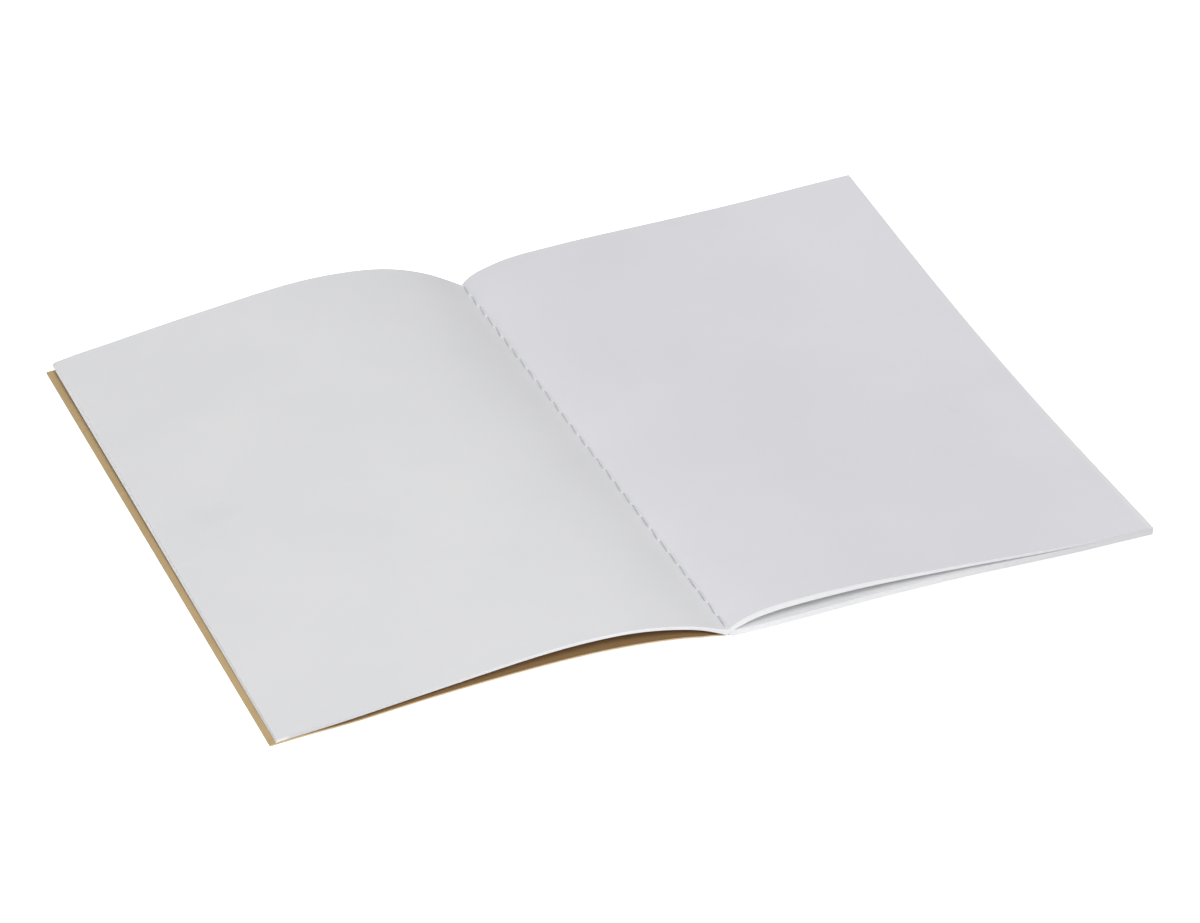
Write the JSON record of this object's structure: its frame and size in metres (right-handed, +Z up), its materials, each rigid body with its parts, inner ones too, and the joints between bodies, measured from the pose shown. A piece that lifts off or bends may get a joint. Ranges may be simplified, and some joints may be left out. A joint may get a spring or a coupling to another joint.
{
  "type": "pocket notebook",
  "caption": "Open pocket notebook with blank white pages, a sewn fold down the middle and a plain brown kraft card cover, its pages bowed up beside the fold.",
  "frame": {"origin": "centre of the open notebook's bounding box, at the table under it", "axes": "+X along the width, from the left page to the right page; +Y along the fold, from the foot of the pages to the head; +Z up out of the table"},
  "size_m": [0.1814, 0.1402, 0.0105],
  "materials": {
    "paper": "matt, uncoated, very light grey white",
    "kraft_card": "matt brown kraft card with fine fibres",
    "thread": "twisted grey-white sewing thread",
    "glue": "dried cold glue"
  },
  "bodies": {
    "book_block": {"cover_back": "kraft_card", "cover_spine": "kraft_card", "spine_glue": "glue", "sewn_fold": "paper", "pile_sheet_1": "paper", "pile_sheet_2": "paper", "pile_sheet_3": "paper", "pile_sheet_4": "paper", "pile_sheet_5": "paper", "pile_sheet_6": "paper", "stitch_thread_upper": "thread", "stitch_thread_lower": "thread", "pile_thread": "thread"},
    "front_cover": {"cover_front": "kraft_card"},
    "left_leaf_1": {"leaf_left_1": "paper"},
    "left_leaf_2": {"leaf_left_2": "paper"},
    "left_leaf_3": {"leaf_left_3": "paper"},
    "left_leaf_4": {"leaf_left_4": "paper"},
    "left_leaf_5": {"leaf_left_5": "paper"},
    "left_leaf_6": {"leaf_left_6": "paper"},
    "right_leaf_1": {"leaf_right_1": "paper"},
    "right_leaf_2": {"leaf_right_2": "paper"},
    "right_leaf_3": {"leaf_right_3": "paper"},
    "right_leaf_4": {"leaf_right_4": "paper"},
    "right_leaf_5": {"leaf_right_5": "paper"},
    "right_leaf_6": {"leaf_right_6": "paper"}
  },
  "joints": [
    {"name": "front_cover_turn", "type": "hinge", "parent": "book_block", "child": "front_cover", "pos_m": [0, 0, 0.00405], "axis": [0, 1, 0.0064], "range_deg": [0, 153]},
    {"name": "left_leaf_1_turn", "type": "hinge", "parent": "book_block", "child": "left_leaf_1", "pos_m": [0, 0, 0.00405], "axis": [0, 1, 0.0064], "range_deg": [0, 155.3], "deforming": ["leaf_left_1"]},
    {"name": "left_leaf_2_turn", "type": "hinge", "parent": "book_block", "child": "left_leaf_2", "pos_m": [0, 0, 0.00405], "axis": [0, 1, 0.0064], "range_deg": [0, 155], "deforming": ["leaf_left_2"]},
    {"name": "left_leaf_3_turn", "type": "hinge", "parent": "book_block", "child": "left_leaf_3", "pos_m": [0, 0, 0.00405], "axis": [0, 1, 0.0064], "range_deg": [0, 154.6], "deforming": ["leaf_left_3"]},
    {"name": "left_leaf_4_turn", "type": "hinge", "parent": "book_block", "child": "left_leaf_4", "pos_m": [0, 0, 0.00405], "axis": [0, 1, 0.0064], "range_deg": [0, 154.2], "deforming": ["leaf_left_4"]},
    {"name": "left_leaf_5_turn", "type": "hinge", "parent": "book_block", "child": "left_leaf_5", "pos_m": [0, 0, 0.00405], "axis": [0, 1, 0.0064], "range_deg": [0, 153.8], "deforming": ["leaf_left_5"]},
    {"name": "left_leaf_6_turn", "type": "hinge", "parent": "book_block", "child": "left_leaf_6", "pos_m": [0, 0, 0.00405], "axis": [0, 1, 0.0064], "range_deg": [0, 153.4], "deforming": ["leaf_left_6"]},
    {"name": "right_leaf_1_turn", "type": "hinge", "parent": "book_block", "child": "right_leaf_1", "pos_m": [0, 0, 0.00405], "axis": [0, 1, 0.0064], "range_deg": [-155.5, 0], "deforming": ["leaf_right_1"]},
    {"name": "right_leaf_2_turn", "type": "hinge", "parent": "book_block", "child": "right_leaf_2", "pos_m": [0, 0, 0.00405], "axis": [0, 1, 0.0064], "range_deg": [-155, 0], "deforming": ["leaf_right_2"]},
    {"name": "right_leaf_3_turn", "type": "hinge", "parent": "book_block", "child": "right_leaf_3", "pos_m": [0, 0, 0.00405], "axis": [0, 1, 0.0064], "range_deg": [-154.5, 0], "deforming": ["leaf_right_3"]},
    {"name": "right_leaf_4_turn", "type": "hinge", "parent": "book_block", "child": "right_leaf_4", "pos_m": [0, 0, 0.00405], "axis": [0, 1, 0.0064], "range_deg": [-154, 0], "deforming": ["leaf_right_4"]},
    {"name": "right_leaf_5_turn", "type": "hinge", "parent": "book_block", "child": "right_leaf_5", "pos_m": [0, 0, 0.00405], "axis": [0, 1, 0.0064], "range_deg": [-153.5, 0], "deforming": ["leaf_right_5"]},
    {"name": "right_leaf_6_turn", "type": "hinge", "parent": "book_block", "child": "right_leaf_6", "pos_m": [0, 0, 0.00405], "axis": [0, 1, 0.0064], "range_deg": [-153, 0], "deforming": ["leaf_right_6"]}
  ],
  "couplings": [
    {"joint": "left_leaf_1_turn", "follows": "front_cover_turn", "ratio": 1.015},
    {"joint": "left_leaf_2_turn", "follows": "front_cover_turn", "ratio": 1.0125},
    {"joint": "left_leaf_3_turn", "follows": "front_cover_turn", "ratio": 1.01},
    {"joint": "left_leaf_4_turn", "follows": "front_cover_turn", "ratio": 1.0075},
    {"joint": "left_leaf_5_turn", "follows": "front_cover_turn", "ratio": 1.005},
    {"joint": "left_leaf_6_turn", "follows": "front_cover_turn", "ratio": 1.0025}
  ]
}
